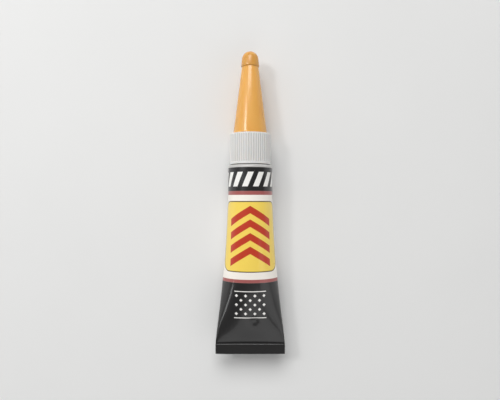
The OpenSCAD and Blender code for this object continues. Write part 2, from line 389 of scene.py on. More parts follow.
# %% Noise, tones, gloss and relief
MIX_UNDER, MIX_OVER, MIX_RESULT = 6, 7, 2  # a Mix node's sockets for colours


def noise(tree, grain, detail=3.0, stretch=(1, 1, 1)):
    """Cloudy noise whose blotches are about grain millimetres across, from 0 to 1."""
    node = tree.nodes.new("ShaderNodeTexNoise")
    node.inputs["Scale"].default_value = 1 / grain
    node.inputs["Detail"].default_value = detail
    tree.links.new(place_in_mm(tree, stretch), node.inputs["Vector"])
    return Wire(tree, node.outputs["Fac"])


def blend_colours(mask, under, over):
    """The under colour, and the over colour where the mask is 1. Either may be a colour or a socket."""
    node = mask.tree.nodes.new("ShaderNodeMix")
    node.data_type = "RGBA"
    mask.drive(node.inputs["Factor"])
    for socket, colour in ((node.inputs[MIX_UNDER], under), (node.inputs[MIX_OVER], over)):
        if isinstance(colour, tuple):
            socket.default_value = colour
        else:
            mask.tree.links.new(colour, socket)
    return node.outputs[MIX_RESULT]


def two_tone(shader, mask, dull, pale):
    """Base colour that goes from the dull tone to the pale one with the mask."""
    mask.tree.links.new(blend_colours(mask, dull, pale), shader.inputs["Base Color"])


def vary_roughness(shader, cloud, middle, spread):
    """Roughness that wanders round a middle value with the given noise."""
    (cloud * (2 * spread) + (middle - spread)).drive(shader.inputs["Roughness"])


def emboss(shader, reliefs):
    """Chains bumps, each a (height wire, depth in millimetres), onto the shader's normal."""
    last = None
    for relief, depth in reliefs:
        bump = relief.tree.nodes.new("ShaderNodeBump")
        bump.inputs["Strength"].default_value = 1
        bump.inputs["Distance"].default_value = depth * MM
        relief.drive(bump.inputs["Height"])
        if last is not None:
            relief.tree.links.new(last, bump.inputs["Normal"])
        last = bump.outputs["Normal"]
    relief.tree.links.new(last, shader.inputs["Normal"])


print("grain and relief are given in millimetres")

# %% [markdown]
# ## The tube's shape
# The tube starts as a round thin cylinder of soft aluminium and its tail is pressed flat. The metal
# bends but doesn't stretch, so each section keeps the girth of the barrel. Its width follows a law, a
# steady taper and a flare close to the tail, and the thickness is then solved for. A loft between a
# circle and a rectangle would look alike but would stretch the print.

# %% Sections that keep their girth
WALL = 0.13
FOLD_H = 3.4
TAPER_SHARE = 0.72
TAPER_POWER = 1.15
FLARE_POWER = 4
EASE_POWER = 1.8
TAIL_POWER = 0.25
SQUARE_POWER = 3
GIRTH_STEPS = 360
SOLVER_STEPS = 40

BODY_LEN = -FOLD_BOTTOM - FOLD_H
TAIL_LEN = BODY_LEN - BARREL_LEN
HALF_GIRTH = math.pi * BARREL_R


def section(share, angles, half_thickness):
    """Sideways and front places of a section's points, at a share of the way from barrel to tail."""
    taper = share ** TAPER_POWER
    flare = 1 - (1 - share ** FLARE_POWER) ** EASE_POWER
    flat = TAPER_SHARE * taper + (1 - TAPER_SHARE) * flare
    power = 1 - (1 - TAIL_POWER) * share ** SQUARE_POWER
    around = np.mod(angles, 2 * math.pi)
    front_side = np.where(around <= math.pi, 1, -1)
    upper = np.where(around <= math.pi, around, 2 * math.pi - around)
    sideways = BARREL_R * ((1 - flat) * np.cos(upper) + flat * (math.pi / 2 - upper))
    front = half_thickness * np.clip(np.sin(upper), 0, 1) ** power
    return sideways, front_side * front


def half_thickness_at(share):
    """Half the thickness that gives the section the barrel's girth, found by halving the range."""
    half_turn = np.linspace(0, math.pi, GIRTH_STEPS + 1)
    low, high = 0.0, BARREL_R
    for _ in range(SOLVER_STEPS):
        middle = (low + high) / 2
        sideways, front = section(share, half_turn, middle)
        if np.hypot(np.diff(sideways), np.diff(front)).sum() < HALF_GIRTH:
            low = middle
        else:
            high = middle
    return max(WALL, low)


for sample in (0, 0.25, 0.5, 0.75, 0.95):
    print(f"half thickness at {sample:.2f} of the way: {half_thickness_at(sample):.2f} mm")

# %% [markdown]
# Soft metal keeps a few marks of handling: shallow dents, and a crease that runs up from one corner of
# the folded tail. They could be painted in a bump map, but a real dent bends the reflections and the
# print on it, so the points of the front are moved.

# %% Body rings with the marks of handling
DENTS = (  # sideways, height, reach, depth
    (1.3, -46.4, 1.5, 0.55),
    (-3.4, -41.0, 3.0, 0.1),
    (5.8, -40.0, 3.0, 0.12))
CREASE_LOW, CREASE_HIGH = (9.7, -52.6), (6.4, -39.0)
CREASE_LIFT, CREASE_W, CREASE_FADE = 0.06, 0.45, 0.5
BODY_RINGS = 96


def handled(sideways, height):
    """How far fingers and the folding jaws have pushed or creased the front, in millimetres."""
    push = np.zeros_like(sideways)
    for x, h, reach, depth in DENTS:
        push -= depth * np.exp(-((sideways - x) ** 2 + (height - h) ** 2) / reach ** 2)
    (x0, h0), (x1, h1) = CREASE_LOW, CREASE_HIGH
    along = np.clip((height - h0) / (h1 - h0), 0, 1)
    off = np.hypot(sideways - (x0 + along * (x1 - x0)), height - (h0 + along * (h1 - h0)))
    ridge = np.sin(math.pi * along) ** CREASE_FADE * np.exp(-(off / CREASE_W) ** 2)
    return push + CREASE_LIFT * ridge


def body_ring(share, inset=0.0):
    """One ring of the body, drawn in from its outer face by an inset."""
    half_thickness = half_thickness_at(share)
    sideways, front = section(share, ring_angles, half_thickness)
    half_width = section(share, np.array([0.0]), half_thickness)[0][0]
    height = np.full(POINTS_ROUND, -BARREL_LEN - share * TAIL_LEN)
    front_share = np.clip(front / half_thickness, 0, 1)
    return np.stack([
        sideways * (half_width - inset) / half_width,
        front * (half_thickness - inset) / half_thickness + handled(sideways, height) * front_share,
        height], axis=-1)


body_shares = np.sin(np.linspace(0, math.pi / 2, BODY_RINGS + 1))
outer_rings = np.array([body_ring(share) for share in body_shares])
print("body rings:", len(outer_rings), "closer together towards the tail")

# %% [markdown]
# ## Neck with its screw thread
# The nozzle screws onto a rolled thread on the neck. A thread is a wave along the height that climbs one
# lead for each turn, so the radius of a point depends on its height and its angle. The nozzle below gets
# the same wave with a little play, so the two fit at any turn. A helix swept with a profile would need a
# boolean, and booleans leave poor meshes.

# %% Sizes of the head and its thread
LEAD = 1.25
THREAD_DEPTH = 0.26
THREAD_FADE = 0.5
THREAD_RUNOUT = 0.25
THREAD_ROWS = 48
NECK_R = 3.5
NECK_BORE_R = 2.2
SEAL_SEAT_R = 2.65
SEAL_T = 0.1
SHOULDER_ROUND = 0.7
SHOULDER_SLOPE = math.radians(10)
SHOULDER_T = 0.6
EDGE_SLACK = 0.01
FLAT_R = BARREL_R - SHOULDER_ROUND
BORE_R = BARREL_R - WALL
NECK_ROOT_R = NECK_R - THREAD_DEPTH


def shoulder_height(radius):
    """Height of the sloping shoulder at a radius."""
    return SHOULDER_ROUND + (FLAT_R - radius) * math.tan(SHOULDER_SLOPE)


def thread_wave(height, angles, low, high):
    """Height of the thread from 0 to 1, faded towards the low and the high end of its run."""
    wave = 0.5 + 0.5 * np.cos(2 * math.pi * (height[:, None] / LEAD) - angles)
    fade = np.clip(np.minimum(height - low, high - height) / THREAD_FADE, 0, 1)
    return wave * fade[:, None]


thread_low = shoulder_height(NECK_R) + THREAD_RUNOUT
thread_high = NECK_TOP - THREAD_RUNOUT
print(f"the thread makes {(thread_high - thread_low) / LEAD:.1f} turns on the neck")

# %% Turned head of the tube
BARREL_ROWS = 6

inner_head = rounded([
    (BORE_R, -BARREL_LEN),
    (BORE_R, shoulder_height(BORE_R) - SHOULDER_T, 0.4),
    (NECK_BORE_R, shoulder_height(NECK_BORE_R) - SHOULDER_T, 0.3),
    (NECK_BORE_R, NECK_TOP - SEAL_T),
    (SEAL_SEAT_R, NECK_TOP - SEAL_T),
    (SEAL_SEAT_R, NECK_TOP, 0.04),
    (NECK_ROOT_R, NECK_TOP, 0.12),
    (NECK_ROOT_R, thread_high)])
neck_rows = spread_rows(NECK_ROOT_R, thread_high, thread_low, THREAD_ROWS)
outer_head = rounded([
    (NECK_ROOT_R, thread_low),
    (NECK_ROOT_R, shoulder_height(NECK_ROOT_R), 0.15),
    (FLAT_R + EDGE_SLACK, SHOULDER_ROUND),
    (BARREL_R, SHOULDER_ROUND, SHOULDER_ROUND - 2 * EDGE_SLACK),
    (BARREL_R, 0)])
barrel_rows = spread_rows(BARREL_R, 0, -BARREL_LEN, BARREL_ROWS)

head_profile = np.concatenate([inner_head, neck_rows, outer_head, barrel_rows])
head_radius = head_profile[:, :1] * np.ones(POINTS_ROUND)
threaded = slice(len(inner_head), len(inner_head) + THREAD_ROWS)
neck_wave = thread_wave(neck_rows[:, 1], ring_angles, thread_low, thread_high)
head_radius[threaded] += THREAD_DEPTH * neck_wave
head_rings = swung(head_radius, head_profile[:, 1], ring_angles)
print("head rows:", len(head_profile), "of which threaded:", THREAD_ROWS)

# %% [markdown]
# ## Tail fold
# The flat end is rolled over twice towards the front, which locks the tube shut: three layers with a
# half-round bend between them. Three flat boxes would show gaps at the bends, so the flat section is
# carried along the path of the strip, turning with it, and stays one piece of metal with the body.

# %% Rolled strip
FOLD_GAP = 0.06
PLY = 2 * WALL
FOLD_PITCH = PLY + FOLD_GAP
BEND_R = (FOLD_PITCH + PLY) / 2
BOTTOM_BEND = FOLD_BOTTOM + BEND_R
TOP_BEND = -BODY_LEN - FOLD_GAP - BEND_R
BEND_STEPS = 10
OUTER_PLY_ROWS, MIDDLE_PLY_ROWS = 7, 5


def ply(front, look, start, finish, rows):
    """Stations along one flat layer, from its start height to its finish height."""
    return [(front, height, look, 0) for height in np.linspace(start, finish, rows)]


def fold_path():
    """Stations along the rolled strip: front place, height, and the way its front face looks."""
    swing = FOLD_PITCH / 2
    turns = np.linspace(0, math.pi, BEND_STEPS + 1)
    stations = ply(0, 1, -BODY_LEN, BOTTOM_BEND, OUTER_PLY_ROWS)[1:-1]
    for turn in turns:
        look = math.cos(turn), math.sin(turn)
        stations.append((swing - swing * look[0], BOTTOM_BEND - swing * look[1], *look))
    stations += ply(2 * swing, -1, BOTTOM_BEND, TOP_BEND, MIDDLE_PLY_ROWS)[1:-1]
    for turn in turns:
        look = -math.cos(turn), math.sin(turn)
        stations.append((3 * swing + swing * look[0], TOP_BEND + swing * look[1], *look))
    return stations + ply(4 * swing, 1, TOP_BEND, BOTTOM_BEND, OUTER_PLY_ROWS)[1:]


flat_sideways, flat_depth = section(1.0, ring_angles, WALL)
strip_rings = np.array([
    np.stack([flat_sideways, front + flat_depth * look_front, height + flat_depth * look_up], axis=-1)
    for front, height, look_front, look_up in fold_path()])
print("stations along the rolled strip:", len(strip_rings))

# %% [markdown]
# ## The whole tube as one skin
# Real tubes are one piece of metal from the neck to the fold, so this is one mesh: up the inside, over
# the rim of the neck, down the thread and shoulder, along the body and round the fold. Blender could
# unwrap it, but the true developed surface is known: how far round the girth from the middle of the
# front, and how far along, in millimetres. On that flat map the print is laid out with a ruler.

# %% Tube skin
INNER_STOP = 4 * WALL
ENAMEL, BARE_METAL = 0, 1

inner_shares = [share for share in body_shares if half_thickness_at(share) > INNER_STOP]
inner_rings = np.array([body_ring(share, WALL) for share in inner_shares[::-1]])
tube_rings = np.concatenate([inner_rings, head_rings, outer_rings, strip_rings])
fold_start = len(tube_rings) - len(strip_rings)
bare_rows = len(inner_rings) + len(inner_head) + THREAD_ROWS + 1


def developed_map(rings):
    """How far round from the front's middle, and how far along, for each ring and column."""
    closed = np.concatenate([rings, rings[:, :1]], axis=1)
    runs = np.linalg.norm(np.diff(closed[:, :, :2], axis=1), axis=2)
    runs[fold_start:] = runs[fold_start - 1]
    along_ring = np.concatenate([np.zeros((len(rings), 1)), np.cumsum(runs, axis=1)], axis=1)
    middle = along_ring[:, rings.shape[1] // 2][:, None]
    heights = closed[:, :, 2].copy()
    steps = np.linalg.norm(np.diff(rings[fold_start - 1:].mean(axis=1), axis=0), axis=1)
    heights[fold_start:] = (-BODY_LEN - np.cumsum(steps))[:, None]
    return np.stack([middle - along_ring, heights], axis=-1)


tube_skin = ring_mesh(
    "tube_skin", tube_rings, flat_ends=True,
    strip_materials=np.where(np.arange(len(tube_rings) - 1) < bare_rows, BARE_METAL, ENAMEL),
    print_map=developed_map(tube_rings))
stand_for(tube_skin, "tube", "tube")

# %% [markdown]
# ## Printed enamel
# The outside is white enamel with a printed design under a clear gloss: a dark band below the shoulder,
# a yellow panel with a dark outline on white between two thin red lines, and a dark tail. The motifs are
# plain: slanted bars, arrow heads that point to the nozzle, and rows of diamonds between two rules. A
# picture could carry them, but a few sums on the developed map keep every edge crisp at any distance.

# %% Inks and layout of the print
WHITE_ENAMEL = srgb(251, 245, 236)
SHOULDER_TONE = srgb(192, 191, 188)
DARK_INK = srgb(29, 28, 28)
RED_LINE = srgb(168, 92, 89)
YELLOW_INK = srgb(252, 219, 96)
OUTLINE_INK = srgb(92, 76, 32)
RED_INK = srgb(196, 58, 34)
PALE_INK = srgb(247, 245, 241)

BAND_TOP, BAND_LOW = -0.2, -7.25
TOP_LINE_LOW = -8.4
PANEL_TOP, PANEL_LOW = -10.2, -31.35
PANEL_HALF_W = 9.95
PANEL_CORNER = 2.9
OUTLINE_W = 0.3
TAIL_LINE_TOP, TAIL_LINE_LOW = -33.5, -34.5
print(f"the panel takes {2 * PANEL_HALF_W:.1f} mm of a girth of {2 * HALF_GIRTH:.1f} mm")

# %% Panel, bars and arrow heads
BAR_COUNT, BAR_W, BAR_LEAN = 13, 1.75, 0.42
BAR_TOP, BAR_LOW = -1.6, -5.9
ARROW_COUNT, ARROW_PITCH, ARROW_W = 4, 4.0, 2.2
ARROW_SLOPE, ARROW_HALF_W, ARROW_LOW = 0.6, 6.6, -25.8


def rounded_panel(across, along):
    """Distance outside the panel, a rounded rectangle. It is negative inside."""
    over_x = abs(across) - (PANEL_HALF_W - PANEL_CORNER)
    over_y = abs(along - (PANEL_LOW + PANEL_TOP) / 2) - ((PANEL_TOP - PANEL_LOW) / 2 - PANEL_CORNER)
    outside_x, outside_y = over_x.most(0), over_y.most(0)
    reach = (outside_x * outside_x + outside_y * outside_y).math("SQRT")
    return reach + over_x.most(over_y).least(0) - PANEL_CORNER


def slanted_bars(across, along):
    """Pale bars that lean to one side, a whole number of them round the dark band."""
    leaning = (across - along * BAR_LEAN).wrapped(2 * HALF_GIRTH / BAR_COUNT)
    return leaning.between(0, BAR_W) * along.between(BAR_LOW, BAR_TOP)


def arrow_stripes(across, along):
    """Whole red arrow heads, one above the other, that point to the nozzle."""
    bent = along + abs(across) * ARROW_SLOPE - ARROW_LOW
    rows = bent.between(-BLUR, ARROW_COUNT * ARROW_PITCH - BLUR)
    stripes = bent.wrapped(ARROW_PITCH).between(0, ARROW_W)
    return stripes * rows * abs(across).below(ARROW_HALF_W)


print(BAR_COUNT, "bars round the band,", ARROW_COUNT, "arrow heads on the panel")

# %% Diamonds and worn edges
DIAMOND_PITCH, DIAMOND_SIZE = 2.8, 0.5
FIELD_MIDDLE, FIELD_HALF_H, FIELD_HALF_W = -41.2, 3.5, 4.9
RULE_GAP, RULE_HALF_W = 0.6, 0.13
WEAR_W = 0.2


def diamond_grid(across, along, shift_x, shift_y):
    """Diamonds on a square grid, shifted by a part of its pitch."""
    half = DIAMOND_PITCH / 2
    from_x = abs((across + (shift_x + half)).wrapped(DIAMOND_PITCH) - half)
    from_y = abs((along + (shift_y + half)).wrapped(DIAMOND_PITCH) - half)
    return (from_x + from_y).below(DIAMOND_SIZE)


def diamond_field(across, along):
    """Staggered rows of small pale diamonds between two thin rules on the dark tail."""
    half = DIAMOND_PITCH / 2
    from_middle = along - FIELD_MIDDLE
    grids = diamond_grid(across, from_middle, 0, half).most(diamond_grid(across, from_middle, half, 0))
    rows = grids * abs(from_middle).below(FIELD_HALF_H)
    rules = abs(abs(from_middle) - (FIELD_HALF_H + RULE_GAP)).below(RULE_HALF_W)
    return rows.most(rules) * abs(across).below(FIELD_HALF_W)


def fold_edges(across, along):
    """The lowest bend and the side edges of the rolled tail, where the print wears first."""
    lowest = BOTTOM_BEND - math.pi * FOLD_PITCH / 4
    sides = abs(across).math("GREATER_THAN", HALF_GIRTH / 2 - WEAR_W) * along.below(-BODY_LEN)
    return abs(along - lowest).below(WEAR_W, WEAR_W).most(sides)


print("diamonds every", DIAMOND_PITCH, "mm, worn edges", WEAR_W, "mm wide")

# %% Enamel with its print
BARE_TONE = srgb(190, 190, 188)
WEAR_SHARE = 0.3
WEAR_LIMIT, WEAR_BLUR = 0.44, 0.05


def printed_enamel():
    """White enamel with the inks laid over it one by one, worn thin on the edges of the fold."""
    material, tree, shader = new_material("printed_enamel")
    uv_map = tree.nodes.new("ShaderNodeUVMap")
    uv_map.uv_map = "print"
    across, along, _ = split_place(tree, uv_map.outputs["UV"])

    panel = rounded_panel(across, along)
    layers = [
        (panel.below(0), OUTLINE_INK),
        (panel.below(-OUTLINE_W), YELLOW_INK),
        (arrow_stripes(across, along), RED_INK),
        (along.between(TOP_LINE_LOW, BAND_LOW), RED_LINE),
        (along.between(BAND_LOW, BAND_TOP), DARK_INK),
        (slanted_bars(across, along), PALE_INK),
        (along.between(TAIL_LINE_LOW, TAIL_LINE_TOP), RED_LINE),
        (along.below(TAIL_LINE_LOW), DARK_INK),
        (diamond_field(across, along), PALE_INK),
        (along.math("GREATER_THAN", BAND_TOP), SHOULDER_TONE)]
    colour = WHITE_ENAMEL
    for mask, ink in layers:
        colour = blend_colours(mask, colour, ink)

    handling = noise(tree, grain=6.0)
    skin = noise(tree, grain=0.35, detail=2.0)
    patches = noise(tree, grain=1.3, detail=4.0).below(WEAR_LIMIT, WEAR_BLUR)
    worn = patches * fold_edges(across, along) * WEAR_SHARE
    tree.links.new(blend_colours(worn, colour, BARE_TONE), shader.inputs["Base Color"])
    vary_roughness(shader, handling, middle=0.3, spread=0.06)
    shader.inputs["Coat Weight"].default_value = 0.4
    shader.inputs["Coat Roughness"].default_value = 0.08
    emboss(shader, [(handling, 0.05), (skin, 0.003)])
    return material


tube_skin.data.materials.append(printed_enamel())
print("print layers drawn on", tube_skin.name)

# %% [markdown]
# ## Bare aluminium
# The neck and the inside are bare metal, turned on a lathe: very fine rings run round them. The shader's
# anisotropy could hint at them, but real rings also catch dust and light. A noise that is stretched thin
# along the axis gives the rings, both in the bump and in the gloss.

# %% Turned metal
LATHE_STRETCH = (0.08, 6, 0.08)


def bare_aluminium():
    """Bright metal with fine lathe rings round the axis."""
    material, tree, shader = new_material("bare_aluminium")
    rings = noise(tree, grain=1.0, detail=2.0, stretch=LATHE_STRETCH)
    cloud = noise(tree, grain=1.5)
    two_tone(shader, cloud, srgb(196, 198, 200), srgb(222, 222, 220))
    shader.inputs["Metallic"].default_value = 1
    vary_roughness(shader, rings, middle=0.34, spread=0.1)
    emboss(shader, [(rings, 0.006)])
    return material


tube_skin.data.materials.append(bare_aluminium())
print("materials on the tube:", [slot.name for slot in tube_skin.material_slots])

# %% [markdown]
# ## Ribbed nozzle
# The white nozzle is one moulding: a collar with fine grip ribs, a sleeve with a thread inside, a boss
# for the cap and a long spout with a fine hole. Beads joined to a plain collar would leave seams, so its
# profile is one closed loop, out over the collar and spout and back through the bore, and the ribs are
# in its rings: each pitch gets points at the crest, the flanks and the feet of a half-round bead.

# %% Sizes of the nozzle
RIB_COUNT, RIB_H = 52, 0.18
RIM_H, RIM_DROP, RIM_EDGE, RIM_STEP = 0.5, 0.2, 0.06, 0.02
RIB_FOOT_SHARE = 0.6
COLLAR_ROUND, COLLAR_H = 0.45, 9.2
BOSS_R, BOSS_H = 3.9, 3.5
SPOUT_FOOT_R, SPOUT_TIP_R = 2.7, 1.15
ORIFICE_R, ORIFICE_LEN, SPOUT_BORE_R, BORE_CONE = 0.4, 5, 0.7, 0.4
PRICKER_TIP_R, PRICKER_ROOT_R, PRICKER_LEN = 0.95, 1.3, 1.3
SKIRT_WALL, SKIRT_LIP, SLEEVE_WALL, WEB_T, WASHER_T = 0.95, 0.5, 0.95, 1.4, 0.4
FREE_GAP, SEAT_GAP, THREAD_CLEAR, THREAD_PLAY = 0.35, 0.05, 0.05, 0.02
SOCKET_LEAD_IN, SOCKET_RELIEF, SOCKET_RUNOUT = 0.2, 0.3, 0.4

COLLAR_BOTTOM, SPOUT_TIP = heights_of("nozzle")
COLLAR_R = half_width_of("nozzle")
COLLAR_TOP = COLLAR_BOTTOM + COLLAR_H
RIM_TOP = COLLAR_BOTTOM + RIM_H
RIB_ROOT_R = COLLAR_R - RIB_H
SKIRT_R = RIB_ROOT_R - SKIRT_WALL
SOCKET_R = NECK_R + THREAD_CLEAR
SOCKET_TOP = NECK_TOP + WASHER_T + 2 * SEAT_GAP
SLEEVE_R = SOCKET_R + SLEEVE_WALL
MOUTH = COLLAR_BOTTOM + FREE_GAP
PRICKER_TIP = NECK_TOP + FREE_GAP / 2
PRICKER_ROOT = PRICKER_TIP + PRICKER_LEN
BOSS_TOP = COLLAR_TOP + BOSS_H
WEB_BOTTOM = COLLAR_TOP - WEB_T
BORE_STEP = SPOUT_TIP - ORIFICE_LEN
print(f"collar radius {COLLAR_R:.2f} mm, spout {SPOUT_TIP - BOSS_TOP:.2f} mm long above its boss")

# %% Profile of the nozzle
collar_profile = rounded([
    (SKIRT_R, COLLAR_BOTTOM + SKIRT_LIP),
    (SKIRT_R, COLLAR_BOTTOM - RIM_DROP, 0.15),
    (COLLAR_R, COLLAR_BOTTOM - RIM_DROP, 0.12),
    (COLLAR_R, RIM_TOP, RIM_EDGE),
    (RIB_ROOT_R + RIB_FOOT_SHARE * RIB_H, RIM_TOP + RIM_STEP)])[1:]
rib_profile = rounded([
    (COLLAR_R, RIM_TOP + RIM_EDGE),
    (COLLAR_R, COLLAR_TOP, COLLAR_ROUND),
    (BOSS_R, COLLAR_TOP)])[:-1]
spout_profile = rounded([
    (COLLAR_R, COLLAR_TOP),
    (BOSS_R, COLLAR_TOP, 0.1),
    (BOSS_R, BOSS_TOP, 0.25),
    (SPOUT_FOOT_R, BOSS_TOP, 0.3),
    (SPOUT_TIP_R, SPOUT_TIP, 0.25),
    (ORIFICE_R, SPOUT_TIP, 0.08),
    (ORIFICE_R, BORE_STEP),
    (SPOUT_BORE_R, BORE_STEP - BORE_CONE),
    (SPOUT_BORE_R, PRICKER_TIP, 0.03),
    (PRICKER_TIP_R, PRICKER_TIP, 0.03),
    (PRICKER_ROOT_R, PRICKER_ROOT, 0.15),
    (NECK_BORE_R, PRICKER_ROOT, 0.15),
    (NECK_BORE_R, SOCKET_TOP, 0.05),
    (SOCKET_R, SOCKET_TOP, 0.1),
    (SOCKET_R, SOCKET_TOP - SOCKET_RELIEF)])[1:]
socket_low, socket_high = MOUTH + SOCKET_LEAD_IN, SOCKET_TOP - SOCKET_RUNOUT
socket_rows = spread_rows(SOCKET_R, socket_high, socket_low, THREAD_ROWS)
sleeve_profile = rounded([
    (SOCKET_R, socket_low),
    (SOCKET_R, MOUTH, 0.12),
    (SLEEVE_R, MOUTH, 0.12),
    (SLEEVE_R, WEB_BOTTOM, 0.2),
    (SKIRT_R, WEB_BOTTOM, 0.2),
    (SKIRT_R, COLLAR_BOTTOM + SKIRT_LIP)])
nozzle_profile = np.concatenate([collar_profile, rib_profile, spout_profile, socket_rows, sleeve_profile])
print("rows in the nozzle's loop:", len(nozzle_profile))

# %% Ribs and inner thread
BEAD_POINTS = np.array((-0.5, -0.36, -0.25, -0.19, -0.1, 0.0, 0.1, 0.19, 0.25, 0.36))
pitch_angle = 2 * math.pi / RIB_COUNT
rib_angles = np.concatenate([(k + BEAD_POINTS) * pitch_angle for k in range(RIB_COUNT)]) - math.pi / 2
bead_offset = np.tile(BEAD_POINTS, RIB_COUNT) * pitch_angle * RIB_ROOT_R
bead = np.sqrt(np.clip(1 - (bead_offset / RIB_H) ** 2, 0, 1))

nozzle_radius = nozzle_profile[:, :1] * np.ones(len(rib_angles))
ribbed = slice(len(collar_profile), len(collar_profile) + len(rib_profile))
nozzle_radius[ribbed] = np.minimum(nozzle_radius[ribbed], RIB_ROOT_R + RIB_H * bead)
sleeve_start = len(nozzle_profile) - len(sleeve_profile)
half_lead = LEAD / 2
socket_wave = thread_wave(
    socket_rows[:, 1] + half_lead, rib_angles, socket_low + half_lead, socket_high + half_lead)
nozzle_radius[sleeve_start - THREAD_ROWS:sleeve_start] -= (THREAD_DEPTH - THREAD_PLAY) * socket_wave

ribbed_nozzle = ring_mesh(
    "ribbed_nozzle", swung(nozzle_radius, nozzle_profile[:, 1], rib_angles), looped=True)
stand_for(ribbed_nozzle, "nozzle", "nozzle")

# %% [markdown]
# ## Moulded plastics
# Nozzle, cap and tip are moulded polyethylene. It is waxy: light goes a little way in and comes out
# softened. A plain glossy shader would look like paint, so subsurface scattering gives the softness. The
# skin has a very fine grain from the mould, and long faint flow marks along the direction in which the
# mould was filled. The floors of the grooves between the white collar's ribs get a darker tone, painted
# shade that makes the ribs stand out.

# %% Waxy plastic
FLOW_STRETCH = (1, 0.12, 1)
CLOUD_SHARE, FLOW_SHARE = 0.7, 0.3
# painted shade: a darker tone laid on the floors of the collar's rib grooves
GROOVE_SHADE_TONE = srgb(172, 170, 166)
GROOVE_SHADE_SHARE = 0.4


def rib_floor_shade_mask(tree):
    """1 on the floor of the grooves between the collar's ribs, where shade is painted in."""
    sideways, along, up = split_place(tree, place_in_mm(tree))
    front = up - BARREL_R
    radius = (sideways * sideways + front * front).math("SQRT")
    ribs = (along - TOP_EDGE_Y).between(RIM_TOP, COLLAR_TOP - COLLAR_ROUND)
    return radius.between(RIB_ROOT_R - RIB_H, RIB_ROOT_R + RIB_H / 3) * ribs


def waxy_plastic(name, pale, deep, depth, gloss, grain_depth, painted_shade=None):
    """Moulded plastic between two tones, with light that goes depth millimetres into it."""
    material, tree, shader = new_material(name)
    cloud = noise(tree, grain=4.0)
    flow = noise(tree, grain=1.2, detail=2.0, stretch=FLOW_STRETCH)
    grain = noise(tree, grain=0.12, detail=2.0)
    colour = blend_colours((cloud * CLOUD_SHARE + flow * FLOW_SHARE).clamped(), deep, pale)
    # painted shade darkens the floors of the collar's rib grooves
    if painted_shade is not None:
        colour = blend_colours(painted_shade(tree) * GROOVE_SHADE_SHARE, colour, GROOVE_SHADE_TONE)
    tree.links.new(colour, shader.inputs["Base Color"])
    shader.inputs["Subsurface Weight"].default_value = 0.25
    shader.inputs["Subsurface Radius"].default_value = (1.0, 0.7, 0.5)
    shader.inputs["Subsurface Scale"].default_value = depth * MM
    vary_roughness(shader, cloud, middle=gloss, spread=0.06)
    emboss(shader, [(flow, 0.02), (grain, grain_depth)])
    return material


ribbed_nozzle.data.materials.append(waxy_plastic(
    "white_plastic", srgb(229, 228, 226), srgb(221, 220, 218),
    depth=0.15, gloss=0.36, grain_depth=0.003, painted_shade=rib_floor_shade_mask))
print("finish on", ribbed_nozzle.name, ":", ribbed_nozzle.material_slots[0].name)

# %% [markdown]
# ## Cap and tip
# The cap is a long hollow cone that pulls over the boss. A separate pin is pressed into its top: outside
# it shows as a rounded bulb, and inside it carries a needle that keeps the spout's fine hole open. A
# scaled cone and a ball would do for the outside, but the cap comes off, so both get a true inside.

# %% Cone cap
CAP_FOOT_R, CAP_TOP_R = 5.15, 2.55
CAP_WALL, CAP_TOP_T, CAP_ROUND = 0.9, 1.05, 0.2
CAP_CLEAR, SEAT_CLEAR = 0.05, 0.02
SHANK_R = 1.5
CAP_BOTTOM, CAP_TOP = heights_of("cap")
CAP_CEILING = CAP_TOP - CAP_TOP_T
CAP_SOCKET_R, CAP_SOCKET_TOP = BOSS_R + CAP_CLEAR, BOSS_TOP + FREE_GAP


def cone_radius(height):
    """Outer radius of the cone at a height."""
    return CAP_FOOT_R + (CAP_TOP_R - CAP_FOOT_R) * (height - CAP_BOTTOM) / (CAP_TOP - CAP_BOTTOM)


cap_profile = rounded([
    (CAP_FOOT_R, CAP_BOTTOM, CAP_ROUND),
    (CAP_TOP_R, CAP_TOP, 0.12),
    (SHANK_R + SEAT_CLEAR, CAP_TOP, 0.05),
    (SHANK_R + SEAT_CLEAR, CAP_CEILING, 0.05),
    (cone_radius(CAP_CEILING) - CAP_WALL, CAP_CEILING, 0.06),
    (cone_radius(CAP_SOCKET_TOP) - CAP_WALL, CAP_SOCKET_TOP, 0.06),
    (CAP_SOCKET_R, CAP_SOCKET_TOP, 0.05),
    (CAP_SOCKET_R, CAP_BOTTOM, 0.15)], closed=True)
cone_cap = ring_mesh("cone_cap", turned(cap_profile), looped=True)
stand_for(cone_cap, "cap", "cap")
cone_cap.data.materials.append(waxy_plastic(
    "orange_plastic", srgb(235, 177, 94), srgb(227, 167, 84), depth=0.7, gloss=0.22, grain_depth=0.001))

# %% Bulb and needle
TIP_DOME_R, TIP_BAND_H = 2.5, 2.8
NEEDLE_R = 0.33
DOME_ROWS = 12
TIP_FOOT_R = half_width_of("stopper_pin")
NEEDLE_TIP, TIP_TOP = heights_of("stopper_pin")
DOME_FOOT = CAP_TOP + TIP_BAND_H
DOME_H = TIP_TOP - DOME_FOOT
BALL_R = (TIP_DOME_R ** 2 + DOME_H ** 2) / (2 * DOME_H)

bulb_profile = rounded([
    (0, NEEDLE_TIP),
    (NEEDLE_R, NEEDLE_TIP + 2 * NEEDLE_R, 0.2),
    (NEEDLE_R, CAP_CEILING, 0.1),
    (SHANK_R, CAP_CEILING, 0.05),
    (SHANK_R, CAP_TOP, 0.03),
    (TIP_FOOT_R, CAP_TOP, 0.3),
    (TIP_DOME_R, DOME_FOOT)])
rise = np.linspace(math.asin(TIP_DOME_R / BALL_R), 0, DOME_ROWS + 1)[1:]
dome_profile = np.stack([BALL_R * np.sin(rise), TIP_TOP - BALL_R + BALL_R * np.cos(rise)], axis=1)
bulb_tip = ring_mesh("bulb_tip", turned(np.concatenate([bulb_profile, dome_profile])))
merge_poles(bulb_tip)
stand_for(bulb_tip, "stopper_pin", "cap")
bulb_tip.data.materials.append(waxy_plastic(
    "amber_plastic", srgb(220, 162, 81), srgb(209, 151, 71), depth=1.0, gloss=0.26, grain_depth=0.002))

